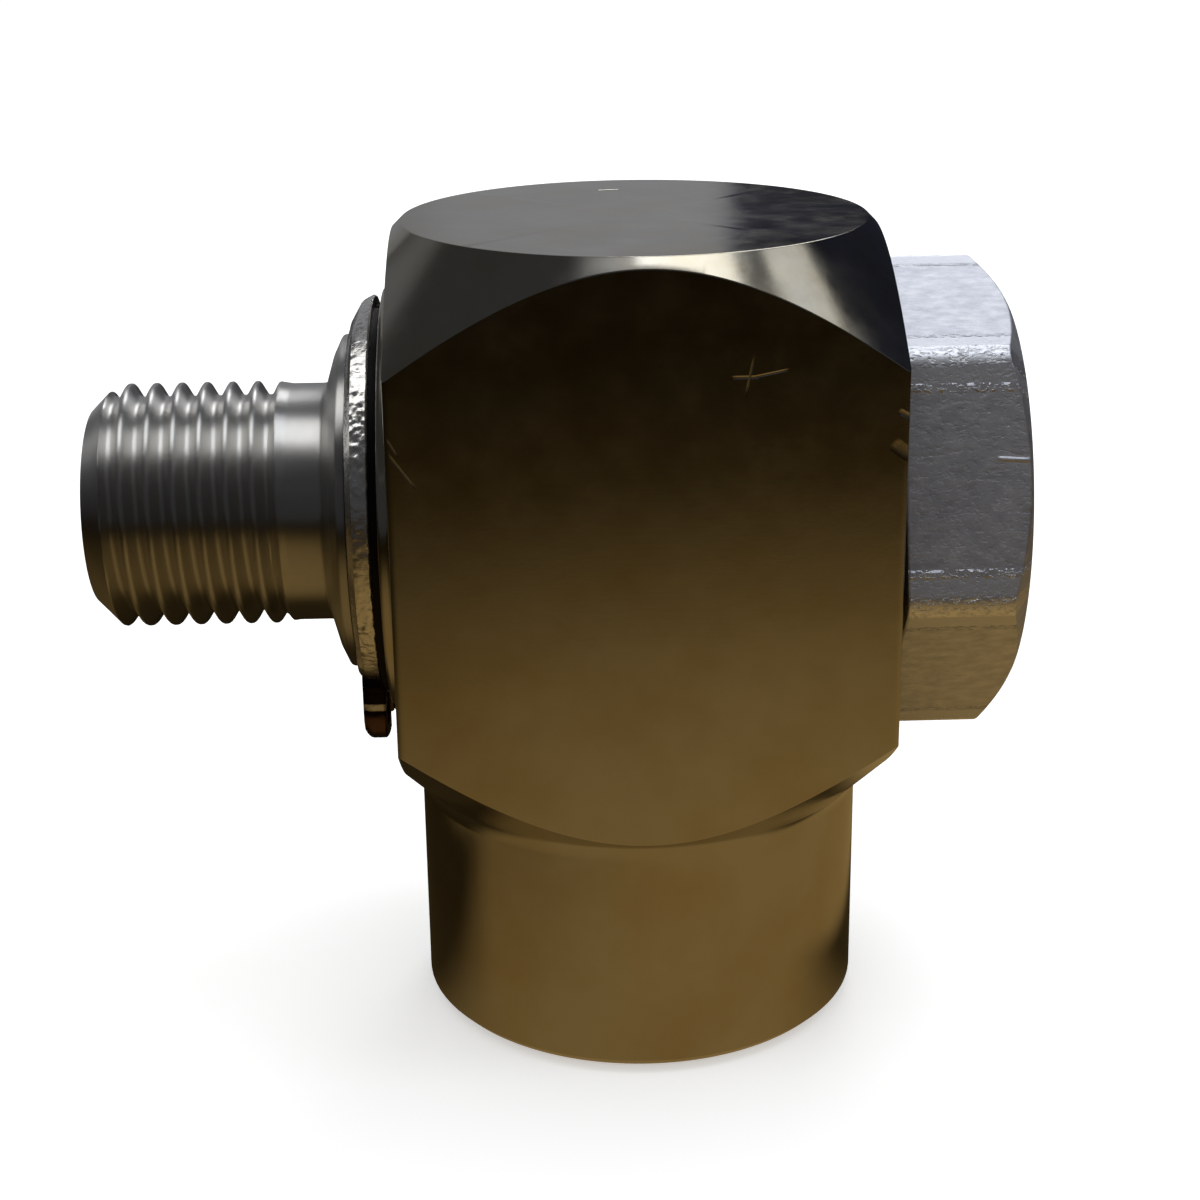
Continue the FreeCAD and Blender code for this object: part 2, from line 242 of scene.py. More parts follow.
def cut(piece, name, angles, section, spot):
    """Takes a turned cutter of one section all round away from a piece."""
    boolean(piece, "DIFFERENCE", turned_piece(name, angles, lambda angle: section, spot))


def shade(piece):
    """Smooth shading that keeps flats flat and leaves unbroken edges sharp."""
    piece.data.shade_smooth()
    piece.data.set_sharp_from_angle(angle=SHARP_ANGLE)
    weighted = piece.modifiers.new("flats", "WEIGHTED_NORMAL")
    weighted.keep_sharp = True
    bake_modifiers(piece)


def ramp(value, start, width):
    """0 up to a start and 1 past a width; a negative width runs downwards."""
    return min(1, max(0, (value - start) / width))


def thread_height(turns):
    """Rounded 55 degree thread form from 0 at the root to 1 at the crest, for a place in turns."""
    straight_share = 0.95
    off_crest = abs((turns + 0.5) % 1 - 0.5) * THREAD_PITCH
    flank = (THREAD_MAJOR_R - THREAD_MINOR_R) * straight_share * FLANK_SLOPE
    t = (off_crest - CREST_HALF_WIDTH) / flank
    soft = THREAD_SOFTNESS
    if t < -soft:
        return 1.0
    if t < soft:
        return 1 - (t + soft) ** 2 / (4 * soft)
    if t < 1 - soft:
        return 1 - t
    if t < 1 + soft:
        return (1 + soft - t) ** 2 / (4 * soft)
    return 0.0


def spaced(start, end, step):
    """Values from start to end at about a step from each other."""
    count = max(2, round(abs(end - start) / step))
    return [start + (end - start) * k / count for k in range(count + 1)]


def bar_reach(off, half, radius, half_sector):
    """Distance to a bar's side at an angle from the side's middle, its long edges rounded."""
    if half * tan(off) <= (half - radius) * tan(half_sector):
        return half / cos(off)
    centre = (half - radius) / cos(half_sector)
    across = centre * sin(half_sector - off)
    return centre * cos(half_sector - off) + sqrt(radius ** 2 - across ** 2)


def square_reach(angle):
    """Distance from the port axis to the square bar's side."""
    off = abs((degrees(angle) + 45) % 90 - 45)
    return bar_reach(radians(off), BODY_HALF, BODY_EDGE_RADIUS, radians(45))


def neck_root(limit):
    """Concave root of the neck, running on into the cone under the corners as far as the bar's side."""
    steps = 14
    cone_angle = pi / 4
    centre_r = NECK_R + NECK_ROOT_RADIUS
    start_z = NECK_LENGTH - NECK_ROOT_RADIUS * tan(cone_angle / 2)
    arc_end_r = centre_r - NECK_ROOT_RADIUS * cos(cone_angle)
    turn = cone_angle
    if limit < arc_end_r:
        turn = acos((centre_r - limit) / NECK_ROOT_RADIUS)
    arc = NECK_ROOT_RADIUS * turn
    total = arc + max(0, limit - arc_end_r) * sqrt(2)
    points = []
    for k in range(steps + 1):
        run = total * k / steps
        a = min(run, arc) / NECK_ROOT_RADIUS
        beyond = max(0, run - arc) / sqrt(2)
        points.append((start_z + NECK_ROOT_RADIUS * sin(a) + beyond,
                       centre_r - NECK_ROOT_RADIUS * cos(a) + beyond))
    return points


def body_section(angle):
    """Section of the body from the drill point of the port, down its thread and up the outside."""
    depth = THREAD_MAJOR_R - THREAD_MINOR_R
    section = [(PORT_DEPTH + THREAD_MINOR_R / DRILL_SLOPE, 0, 0)]
    for z in spaced(PORT_DEPTH, 0, THREAD_PITCH / 14):
        below_crest = 1 - thread_height(z / THREAD_PITCH - angle / (2 * pi))
        r = THREAD_MINOR_R + depth * below_crest * ramp(z, PORT_THREAD_END, -PORT_RUN_OUT)
        section.append((z, max(r, PORT_MOUTH_R - z), 0))
    side = square_reach(angle)
    section += [(0, NECK_R - NECK_MOUTH_CHAMFER, BROKEN_EDGE), (NECK_MOUTH_CHAMFER, NECK_R, BROKEN_EDGE)]
    root = neck_root(side)
    section += [(z, r, 0) for z, r in root[:-1]] + [(*root[-1], BROKEN_EDGE)]
    section += [(BODY_HEIGHT - (side - TOP_FACE_R), side, BROKEN_EDGE),
                (BODY_HEIGHT, TOP_FACE_R, BROKEN_EDGE), (BODY_HEIGHT, CAP_R, 0), (BODY_HEIGHT, 0, 0)]
    return broken(section)


def recess_end(face):
    """Outer end of the stem's bore: lead-in, washer recess and its broken edge in a face of the body."""
    return [(RECESS_FLOOR - BORE_LEAD_IN, BORE_R), (RECESS_FLOOR, BORE_R + BORE_LEAD_IN),
            (RECESS_FLOOR, RECESS_R), (face - BROKEN_EDGE, RECESS_R),
            (face + OVERCUT, RECESS_R + OVERCUT + BROKEN_EDGE), (face + OVERCUT, 0)]


def body_piece():
    """Square bar turned to a neck at the foot and to cones over and under its corners."""
    drill_mouth = PORT_DEPTH + 0.5
    boss_root = BOSS_R + 0.5
    inside = OVERCUT - BODY_HALF
    # Columns 2 degrees apart on the bar's sides, and closer at its long edges.
    quarter = spaced(-41.5, 41.5, 2.0) + [42.6, 43.3, 43.75, 44.1, 44.4, 44.7]
    quarter += [90 - a for a in reversed(quarter[-6:])] + [45]
    angles = sorted(radians(a + 90 * k) for k in range(4) for a in quarter)
    piece = turned_piece("nickel_plated_body", angles, body_section, about_port)
    boss = broken([(-BOSS_FACE, 0, 0), (-BOSS_FACE, BOSS_R, BOSS_EDGE_RADIUS),
                   (-BODY_HALF, BOSS_R, BOSS_ROOT_RADIUS), (-BODY_HALF, boss_root, 0),
                   (inside, boss_root, 0), (inside, 0, 0)])
    boolean(piece, "UNION", turned_piece("boss", even_turn(144), lambda angle: boss, about_stem))
    cut(piece, "passage", even_turn(48), rod(drill_mouth, STEM_AXIS_HEIGHT, PASSAGE_R), about_port)
    bore = [(-x, r) for x, r in reversed(recess_end(BOSS_FACE))] + recess_end(BODY_HALF)
    cut(piece, "bore", even_turn(144), bore, about_stem)
    shade(piece)
    return piece


def hexagon_reach(angle):
    """Distance from the stem axis to the hexagon's side."""
    off = abs((degrees(angle) - HEAD_TURN + 30) % 60 - 30)
    return bar_reach(radians(off), HEAD_APOTHEM, HEAD_CORNER_RADIUS, radians(30))


def stem_section(angle):
    """Section of the stem from the drill point of its bore, out at the thread and on to the head."""
    thread_end = STEM_END + STEM_THREAD_LENGTH
    section = [(STEM_BORE_END + STEM_BORE_R / DRILL_SLOPE, 0, 0),
               (STEM_BORE_END, STEM_BORE_R, 0),
               (STEM_END + (SEAT_CONE_R - STEM_BORE_R) / SEAT_CONE_SLOPE, STEM_BORE_R, BROKEN_EDGE),
               (STEM_END, SEAT_CONE_R, BROKEN_EDGE)]
    for x in spaced(STEM_END, thread_end + 0.1, THREAD_PITCH / 18):
        height = thread_height((x - CREST_AT_TOP) / THREAD_PITCH - (pi / 2 - angle) / (2 * pi))
        run_out = ramp(x, thread_end, -STEM_RUN_OUT)
        r = STEM_CREST_R - (STEM_CREST_R - STEM_ROOT_R) * (1 - height) * run_out
        r = min(r, STEM_CREST_R - (STEM_CREST_R - SHANK_R) * (1 - run_out))
        section.append((x, min(r, STEM_CREST_R - STEM_END_CHAMFER + x - STEM_END), 0))
    section += SHOULDER
    start, end, bottom = CIRCLIP_GROOVE
    section += [(start, SHOULDER[-1][1] - CIRCLIP_GROOVE_BREAK, 0), (start, bottom, 0), (end, bottom, 0),
                (end, JOURNAL_R, GROOVE_EDGE)]
    for start, end, bottom in SEAL_GROOVES:
        section += [(start, JOURNAL_R, GROOVE_EDGE), (start, bottom, 0), (end, bottom, 0),
                    (end, JOURNAL_R, GROOVE_EDGE)]
    side = hexagon_reach(angle)
    head_end = HEAD_SEAT + HEAD_HEIGHT
    chamfer_x = head_end - (side - HEAD_END_FACE_R) * HEAD_CHAMFER_SLOPE
    section += [(HEAD_SEAT, JOURNAL_R, 0), (HEAD_SEAT, side, HEAD_EDGE), (chamfer_x, side, HEAD_EDGE),
                (head_end, HEAD_END_FACE_R, BROKEN_EDGE), (head_end, CAP_R, 0), (head_end, 0, 0)]
    return broken(section)


def stem_piece():
    """Turned stem with its pipe thread, cross holes and hexagon head."""
    # Columns 2 degrees apart on the hexagon's sides, and closer at its corners.
    sector = spaced(-26.0, 26.0, 2.0) + [27.23, 27.7, 28.3, 28.9, 29.45]
    sector += [60 - a for a in reversed(sector[-5:])] + [30]
    angles = sorted(radians(a + HEAD_TURN + 60 * k) for k in range(6) for a in sector)
    piece = turned_piece("threaded_stem", angles, stem_section, about_stem)
    hole_reach = 8
    hole = rod(-hole_reach, hole_reach, CROSS_HOLE_R)
    for turn in (HEAD_TURN, HEAD_TURN + 90):
        drill = turned_piece("drill", even_turn(32), lambda angle: hole, about_port)
        drill.data.transform(Matrix.Rotation(radians(90 - turn), 4, "X"))
        drill.data.transform(Matrix.Translation((0, 0, STEM_AXIS_HEIGHT * MM)))
        boolean(piece, "DIFFERENCE", drill)
    shade(piece)
    return piece


def clip_reach(angle):
    """Distance from the stem axis to the circlip's outline: an eccentric ring with two lugs at the foot."""
    rise = CIRCLIP_RISE * sin(angle)
    ring = rise + sqrt(CIRCLIP_R ** 2 - CIRCLIP_RISE ** 2 + rise ** 2)
    if sin(angle) > LUGS_BELOW_SINE:
        return ring
    off = asin(min(1, abs(cos(angle))))
    lug = min(LUG_R, LUG_SIDE / max(sin(off), 0.01))
    for side, radius, inward in ((LUG_SIDE, LUG_OUTER_CORNER, -1), (CIRCLIP_GAP / 2, LUG_INNER_CORNER, 1)):
        centre_r = LUG_R - radius
        centre = asin((side + inward * radius) / centre_r)
        across = centre_r * sin(off - centre)
        if (off - centre) * inward < 0 and abs(across) < radius:
            lug = min(lug, centre_r * cos(off - centre) + sqrt(radius ** 2 - across ** 2))
    return max(ring, lug)


def along_curve(points, place):
    """Value at a place on a line of (place, value) points."""
    for (a, low), (b, high) in zip(points, points[1:]):
        if place <= b:
            return low + (high - low) * (place - a) / (b - a)
    return points[-1][1]


# Rim of the circlip: how far it falls back from the outline (second) at a place from the left face (first).
ROLLED_EDGE = [(0, 1.25), (0.25, 0.8), (0.5, 0.36), (0.75, 0.18), (1.1, 0), (1.2, 0.06)]
WORN_FLAT = [(0, 0.85), (0.2, 0.5), (0.34, 0.14), (0.5, 0.09), (1.12, 0), (1.2, 0.08)]
LUG_EDGE = [(0, 0.4), (0.12, 0.2), (0.25, 0.07), (0.42, 0), (1.1, 0), (1.2, 0.1)]
# Rows of points across the rim, from the left face.
CLIP_ROWS = [0, 0.05, 0.1, 0.16, 0.22, 0.28, 0.34, 0.4, 0.47, 0.54, 0.61, 0.68, 0.75, 0.82, 0.89, 0.96, 1.03,
             1.1, 1.15, 1.2]


def clip_section(angle):
    """Section of the circlip, whose sheared rim is rolled over at one edge and torn in places."""
    face_ring_r = 9.0
    reach = clip_reach(angle)
    up = degrees(asin(max(-1, min(1, sin(angle)))))
    flat = ramp(up, -62, 16) * ramp(up, 82, -18)
    lug = ramp(up, -38, -5) if reach - CIRCLIP_R > -0.35 else 0
    torn = 0.022 + 0.075 * max(0, 1 - abs(up - 38) / 24, 1 - abs(up + 22) / 14)
    section = [(CIRCLIP_LEFT + CIRCLIP_THICKNESS, CIRCLIP_INNER_R), (CIRCLIP_LEFT, CIRCLIP_INNER_R),
               (CIRCLIP_LEFT, face_ring_r)]
    for s in CLIP_ROWS:
        drop = along_curve(ROLLED_EDGE, s) * (1 - flat) + along_curve(WORN_FLAT, s) * flat
        drop = drop * (1 - lug) + along_curve(LUG_EDGE, s) * lug
        spot = Vector(about_stem(CIRCLIP_LEFT + s, reach, angle))
        rough = noise.noise(spot * 2.7) + 0.6 * noise.noise(spot * 6.1)
        drop += torn * (1 - lug) * (0.35 - rough) * ramp(s, 0, 0.3) * ramp(s, CIRCLIP_THICKNESS, -0.15)
        section.append((CIRCLIP_LEFT + s, reach - drop))
    section.append((CIRCLIP_LEFT + CIRCLIP_THICKNESS, CIRCLIP_INNER_R))
    return section


def circlip_piece():
    """Open spring ring with two drilled lugs at its gap."""
    right_of_lugs, left_of_lugs = -58, 238
    gap_foot, gap_head = 10, 22
    angles = spaced(right_of_lugs, left_of_lugs, 0.5)[:-1]
    angles += spaced(left_of_lugs, right_of_lugs + 360, 0.25)[:-1]
    piece = turned_piece("sheared_circlip", [radians(a) for a in angles], clip_section, about_stem)
    middle = CIRCLIP_LEFT + CIRCLIP_THICKNESS / 2
    cut(piece, "gap", [radians(a) for a in (45, 135, 225, 315)],
        rod(gap_foot, gap_head, CIRCLIP_GAP / 2 / cos(pi / 4)),
        lambda along, r, a: (middle + r * cos(a), r * sin(a), along))
    across, height, hole_r = LUG_HOLE
    for y in (-across, across):
        cut(piece, "lug_hole", even_turn(32), rod(middle - OVERCUT, middle + OVERCUT, hole_r),
            lambda along, r, a: (along, y + r * cos(a), height + r * sin(a)))
    shade(piece)
    return piece


body = body_piece()
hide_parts("body")
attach(body, "housing")
stem = stem_piece()
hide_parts("stem")
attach(stem, "spindle")
clip = circlip_piece()
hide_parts("circlip")
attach(clip, "spindle")


def place_in_mm(tree):
    """Place on the piece in millimetres."""
    place = node(tree, "ShaderNodeTexCoord").outputs["Object"]
    return node(tree, "ShaderNodeVectorMath", {0: place, 1: (1 / MM,) * 3}, operation="MULTIPLY")


def axes(tree, place):
    """Outputs with the X, Y and Z of a place."""
    return node(tree, "ShaderNodeSeparateXYZ", {0: place}).outputs


def grain(tree, place, grains_per_mm, detail=2.0):
    """Noise with its own number of grains to a millimetre along X, Y and Z."""
    moved = node(tree, "ShaderNodeVectorMath", {0: place, 1: grains_per_mm}, operation="MULTIPLY")
    return node(tree, "ShaderNodeTexNoise", {
        "Vector": moved, "Scale": 1.0, "Detail": detail, "Roughness": 0.6})


def within(tree, value, low, high, soft):
    """1 from low to high and 0 outside, with soft ends of a width."""
    rise = node(tree, "ShaderNodeMapRange", {0: value, 1: low - soft / 2, 2: low + soft / 2},
                interpolation_type="SMOOTHSTEP")
    fall = node(tree, "ShaderNodeMapRange", {0: value, 1: high + soft / 2, 2: high - soft / 2},
                interpolation_type="SMOOTHSTEP")
    return node(tree, "ShaderNodeMath", {0: rise, 1: fall}, operation="MULTIPLY")


def span(tree, x, y):
    """Length of a line whose two legs are given."""
    both = node(tree, "ShaderNodeCombineXYZ", {0: x, 1: y})
    return node(tree, "ShaderNodeVectorMath", {0: both}, operation="LENGTH").outputs["Value"]


def scratch(tree, place, start, end, width):
    """1 on a straight scratch between two places in millimetres, 0 off it."""
    run = Vector(end) - Vector(start)
    way = run.normalized()[:]
    from_start = node(tree, "ShaderNodeVectorMath", {0: place, 1: start}, operation="SUBTRACT")
    along = node(tree, "ShaderNodeVectorMath", {0: from_start, 1: way}, operation="DOT_PRODUCT")
    off = node(tree, "ShaderNodeVectorMath", {0: from_start, 1: way}, operation="CROSS_PRODUCT")
    off = node(tree, "ShaderNodeVectorMath", {0: off}, operation="LENGTH").outputs["Value"]
    on_line = node(tree, "ShaderNodeMapRange", {0: off, 1: width, 2: width * 0.3})
    in_reach = within(tree, along.outputs["Value"], 0, run.length, run.length * 0.4)
    return node(tree, "ShaderNodeMath", {0: on_line, 1: in_reach}, operation="MULTIPLY")


def together(tree, *masks):
    """Highest of several masks."""
    total = masks[0]
    for mask in masks[1:]:
        total = node(tree, "ShaderNodeMath", {0: total, 1: mask}, operation="MAXIMUM")
    return total


def surface(name, colour, roughness, metallic=1.0):
    """Material with its tree and shader, and the plain values that a viewer without its nodes shows."""
    material = bpy.data.materials.new(name)
    material.use_nodes = True
    tree = material.node_tree
    shader = tree.nodes["Principled BSDF"]
    shader.inputs["Metallic"].default_value = metallic
    shader.inputs["Base Color"].default_value = linear(colour)
    shader.inputs["Roughness"].default_value = roughness
    return material, tree, shader


def varied(tree, shader, socket, factor, low, high):
    """Shader socket that goes from low to high, both plain numbers or both sRGB hex values."""
    if isinstance(low, str):
        made = node(tree, "ShaderNodeMix", {0: factor, 6: linear(low), 7: linear(high)}, data_type="RGBA")
        tree.links.new(made.outputs[2], shader.inputs[socket])
    else:
        made = node(tree, "ShaderNodeMapRange", {0: factor, 3: low, 4: high})
        tree.links.new(made.outputs[0], shader.inputs[socket])


def relief(tree, shader, *layers):
    """Bump from (height from 0 to 1, depth in millimetres) layers, one on another."""
    sockets = {}
    for height, depth in layers:
        made = node(tree, "ShaderNodeBump", {
            **sockets, "Height": height, "Distance": depth * MM, "Strength": 1.0})
        sockets = {"Normal": made.outputs["Normal"]}
    tree.links.new(sockets["Normal"], shader.inputs["Normal"])


# Scratches and dents: two ends and a half width.
BODY_MARKS = [((-12.2, -12.5, 33.8), (-11.2, -12.5, 32.4), 0.06),
              ((-12.3, -12.5, 34.6), (-11.9, -12.5, 33.9), 0.05),
              ((4.1, -12.5, 37.3), (5.2, -12.5, 37.3), 0.09),
              ((5.0, -12.5, 38.1), (4.7, -12.5, 36.6), 0.08),
              ((6.5, -12.5, 37.6), (5.0, -12.5, 37.3), 0.07),
              ((11.8, -12.5, 33.9), (12.5, -12.3, 33.3), 0.35),
              ((12.0, -12.5, 35.5), (12.5, -12.4, 35.2), 0.16),
              ((-1.6, 8.3, 43.0), (-0.4, 8.5, 43.0), 0.1)]
HEAD_NICK = ((17.4, -10.13, 32.42), (18.7, -10.16, 32.33), 0.13)

# Bands on the hexagon's sides, by the distance from a side's middle line.
WORN_LINE = (4.38, 4.72)
BRIGHT_STRIP = (4.7, 5.7)
CORNER_START, CORNER_FULL = 5.6, 5.8

# Bands on the circlip: its rim by the distance from the ring's middle, the others by height over the axis.
RIM_START, RIM_FULL = 9.3, 9.6
BARE_START, BARE_FULL = -7.5, -7.1
# Painted highlight: a band of metal colour at this height across the lugs, standing in for the glint on their
# corner.
LUG_CORNER_PAINTED_HIGHLIGHT = (-10.19, -9.84)
# Painted reflection: the lugs' ends turn a lighter brownish colour below this height, standing in for the
# table that their rounded ends mirror.
LUG_END_REFLECTION_START, LUG_END_REFLECTION_FULL = -10.3, -10.7


def nickel_plated_brass():
    """Thin nickel over drawn and turned brass: warm grey, nearly a mirror, with stains and handling marks."""
    material, tree, shader = surface("nickel_plated_brass", "#BCB8AC", 0.14)
    place = place_in_mm(tree)
    x, y, z = axes(tree, place)
    stains = node(tree, "ShaderNodeMapRange", {
        0: grain(tree, place, (0.16, 0.16, 0.16), 5.0), 1: 0.4, 2: 0.7})
    varied(tree, shader, "Base Color", stains, "#BEBAAF", "#B6AC94")
    haze = node(tree, "ShaderNodeMapRange", {
        0: grain(tree, place, (0.5, 0.5, 0.5), 4.0), 1: 0.35, 2: 0.7, 4: 0.22})
    marks = together(tree, *[scratch(tree, place, *mark) for mark in BODY_MARKS])
    worn = node(tree, "ShaderNodeMath", {0: marks, 1: 0.6}, operation="MULTIPLY")
    varied(tree, shader, "Roughness", together(tree, haze, worn), 0.11, 0.5)
    turned = node(tree, "ShaderNodeCombineXYZ", {0: span(tree, x, y), 1: z})
    relief(tree, shader, (grain(tree, turned, (5, 5, 1), 1.0), 0.0008),
           (grain(tree, place, (0.35, 0.35, 0.35)), 0.006), (grain(tree, place, (6, 6, 0.35), 3.0), 0.0006),
           (marks, -0.018))
    return material


def turned_steel():
    """Bright turned steel: fine rings round the stem, which draw each lamp out into a band along it."""
    material, tree, shader = surface("turned_steel", "#C4C2BD", 0.15)
    place = place_in_mm(tree)
    around = node(tree, "ShaderNodeTangent", direction_type="RADIAL", axis="X")
    tree.links.new(around.outputs[0], shader.inputs["Tangent"])
    shader.inputs["Anisotropic"].default_value = 0.9
    shader.inputs["Anisotropic Rotation"].default_value = 0.25
    varied(tree, shader, "Roughness", grain(tree, place, (3.0, 0.8, 0.8), 3.0), 0.3, 0.42)
    relief(tree, shader, (grain(tree, place, (7, 0.06, 0.06), 1.0), 0.0015),
           (grain(tree, place, (4.5, 1.0, 1.0), 3.0), 0.002))
    return material


def drawn_steel():
    """Cold-drawn hexagon bar: dull and mottled, with pitted corners and a brighter strip beside each."""
    material, tree, shader = surface("drawn_steel", "#C6C5C1", 0.45)
    place = place_in_mm(tree)
    y, z = axes(tree, place)[1:]
    up = node(tree, "ShaderNodeMath", {0: z, 1: STEM_AXIS_HEIGHT}, operation="SUBTRACT")
    towards = node(tree, "ShaderNodeMath", {0: y, 1: -1}, operation="MULTIPLY")
    angle = node(tree, "ShaderNodeMath", {0: up, 1: towards}, operation="ARCTAN2")
    turn = node(tree, "ShaderNodeMath", {0: angle, 1: radians(30 - HEAD_TURN)}, operation="ADD")
    side = node(tree, "ShaderNodeMath", {0: turn, 1: radians(60)}, operation="FLOORED_MODULO")
    side = node(tree, "ShaderNodeMath", {0: side, 1: radians(30)}, operation="SUBTRACT")
    off = node(tree, "ShaderNodeMath", {0: side}, operation="ABSOLUTE")
    off = node(tree, "ShaderNodeMath", {0: off}, operation="TANGENT")
    across = node(tree, "ShaderNodeMath", {0: off, 1: HEAD_APOTHEM}, operation="MULTIPLY")
    mottle = grain(tree, place, (1.1, 1.8, 1.8), 5.0)
    pits = node(tree, "ShaderNodeMapRange", {0: grain(tree, place, (3.2, 4.5, 4.5), 3.0), 1: 0.5, 2: 0.72})
    strip = within(tree, across, *BRIGHT_STRIP, 0.15)
    corner = node(tree, "ShaderNodeMapRange", {0: across, 1: CORNER_START, 2: CORNER_FULL})
    pitted = node(tree, "ShaderNodeMapRange", {0: pits, 1: 0.0, 2: 0.25})
    worn = node(tree, "ShaderNodeMath", {0: within(tree, across, *WORN_LINE, 0.16), 1: pitted},
                operation="MULTIPLY")
    nick = scratch(tree, place, *HEAD_NICK)
    rubbed = together(tree, node(tree, "ShaderNodeMath", {0: strip, 1: 0.5}, operation="MULTIPLY"), corner)
    blotch = node(tree, "ShaderNodeMapRange", {0: mottle, 1: 0.3, 2: 0.75, 4: 0.75})
    varied(tree, shader, "Base Color", together(tree, rubbed, blotch), "#CCCED6", "#F8F9FC")
    varied(tree, shader, "Roughness", corner, 0.6, 0.45)
    relief(tree, shader, (mottle, 0.02), (pits, -0.012), (grain(tree, place, (0.25, 5, 5), 2.0), 0.004),
           (together(tree, worn, nick), 0.12),
           (node(tree, "ShaderNodeMath", {0: corner, 1: pits}, operation="MULTIPLY"), -0.03))
    return material


def spring_steel():
    """Black phosphated circlip: its sheared rim torn and worn to the metal, a painted highlight of metal
    colour along the lugs' corner, and a painted reflection of the table, in a lighter brownish tone, at the
    lugs' ends.
    """
    material, tree, shader = surface("spring_steel", "#A5A3A0", 0.3)
    place = place_in_mm(tree)
    y, z = axes(tree, place)[1:]
    up = node(tree, "ShaderNodeMath", {0: z, 1: STEM_AXIS_HEIGHT}, operation="SUBTRACT")
    off_centre = node(tree, "ShaderNodeMath", {0: up, 1: CIRCLIP_RISE}, operation="SUBTRACT")
    reach = span(tree, y, off_centre)
    outer = node(tree, "ShaderNodeMapRange", {0: reach, 1: RIM_START, 2: RIM_FULL})
    upper = node(tree, "ShaderNodeMapRange", {0: up, 1: BARE_START, 2: BARE_FULL})
    rim = node(tree, "ShaderNodeMath", {0: outer, 1: upper}, operation="MULTIPLY")
    # Painted highlight on the lugs' corner, mixed in with the worn rim.
    corner = within(tree, up, *LUG_CORNER_PAINTED_HIGHLIGHT, 0.1)
    worn_rim_and_painted_highlight = together(tree, rim, node(tree, "ShaderNodeMath", {0: corner, 1: 0.8}, operation="MULTIPLY"))
    # Painted reflection of the table on the lugs' rounded ends.
    painted_lug_end_reflection = node(tree, "ShaderNodeMapRange", {0: up, 1: LUG_END_REFLECTION_START, 2: LUG_END_REFLECTION_FULL})
    dark = node(tree, "ShaderNodeMix", {0: painted_lug_end_reflection, 6: linear("#241816"), 7: linear("#5E463C")},
                data_type="RGBA")
    coat = node(tree, "ShaderNodeMix", {0: worn_rim_and_painted_highlight, 6: dark, 7: linear("#EFEDE8")}, data_type="RGBA")
    tree.links.new(coat.outputs[2], shader.inputs["Base Color"])
    varied(tree, shader, "Roughness", grain(tree, place, (1.5, 1.5, 1.5), 3.0), 0.16, 0.36)
    relief(tree, shader, (grain(tree, place, (2.4, 3.2, 3.2), 4.0), 0.03))
    return material


def phosphate_and_painted_shade():
    """Black phosphate on a flat washer: rough, and nearly black beside the bright stem; this near-black also
    paints the shade in the gap between the circlip and the body.
    """
    material, tree, shader = surface("phosphate_and_painted_shade", "#2E2B2A", 0.55)
    relief(tree, shader, (grain(tree, place_in_mm(tree), (6, 6, 6), 3.0), 0.006))
    return material


def matt(name, colour, roughness):
    """Plain matt finish of the parts inside: rubber and plastic."""
    material, tree, shader = surface(name, colour, roughness, 0.0)
    relief(tree, shader, (grain(tree, place_in_mm(tree), (9, 9, 9), 2.0), 0.004))
    return material


def paint(piece, *materials):
    """Gives a piece these materials in place of what it had."""
    piece.data.materials.clear()
    for material in materials:
        piece.data.materials.append(material)


def paint_stem():
    """Turned steel all over but for the hexagon's sides."""
    paint(stem, turned_steel(), drawn_steel())
    for face in stem.data.polygons:
        middle = face.center / MM
        if middle.x > HEAD_SEAT + 0.01 and hypot(middle.y, middle.z - STEM_AXIS_HEIGHT) > HEAD_END_FACE_R:
            face.material_index = 1


def paint_cad_pieces():
    """Finishes of the pieces kept from the solids, whose sharp edges are softened."""
    # The near-black washers also paint the shade in the gap beside the circlip.
    finishes = {"dark_steel": phosphate_and_painted_shade(), "acetal": matt("black_acetal", "#191919", 0.45),
                "nitrile_rubber": matt("nitrile", "#141414", 0.6), "ptfe": matt("white_ptfe", "#DDDCD6", 0.4)}
    for part in frame["record"]["subparts"]:
        if part["node"] in ("body", "stem", "circlip"):
            continue
        piece = frame["nodes"][part["node"]]
        for slot in piece.material_slots:
            slot.material = finishes[part["material_slot"]]
        edges = piece.modifiers.new("edges", "BEVEL")
        edges.width = SOFT_EDGE * MM
        edges.segments = 2
        edges.limit_method = "ANGLE"
        edges.harden_normals = True


paint(body, nickel_plated_brass())
paint_stem()
paint(clip, spring_steel())
paint_cad_pieces()


def staged(piece):
    """Puts a piece of the studio into the scene."""
    bpy.context.scene.collection.objects.link(piece)
    return piece


def sheet(name, corners):
    """Flat piece of the studio with these corners."""
    mesh = bpy.data.meshes.new(name)
    mesh.from_pydata([Vector(c) * MM for c in corners], [], [tuple(range(len(corners)))])
    return staged(bpy.data.objects.new(name, mesh))


def glowing(name):
    """Material that only shines, with its tree and emission node."""
    material = bpy.data.materials.new(name)
    material.use_nodes = True
    tree = material.node_tree
    tree.nodes.remove(tree.nodes["Principled BSDF"])
    glow = node(tree, "ShaderNodeEmission")
    tree.links.new(glow.outputs[0], tree.nodes["Material Output"].inputs["Surface"])
    return material, tree, glow


def seen_white(tree, strength):
    """White light of its own for what the camera, a mirror or glass sees, and none for what it lights."""
    path = node(tree, "ShaderNodeLightPath")
    seen = node(tree, "ShaderNodeMath", {0: path.outputs["Is Camera Ray"], 1: path.outputs["Is Glossy Ray"]},
                operation="ADD")
    seen = node(tree, "ShaderNodeMath", {0: seen, 1: path.outputs["Is Transmission Ray"]}, operation="ADD",
                use_clamp=True)
    return node(tree, "ShaderNodeMath", {0: seen, 1: strength}, operation="MULTIPLY")


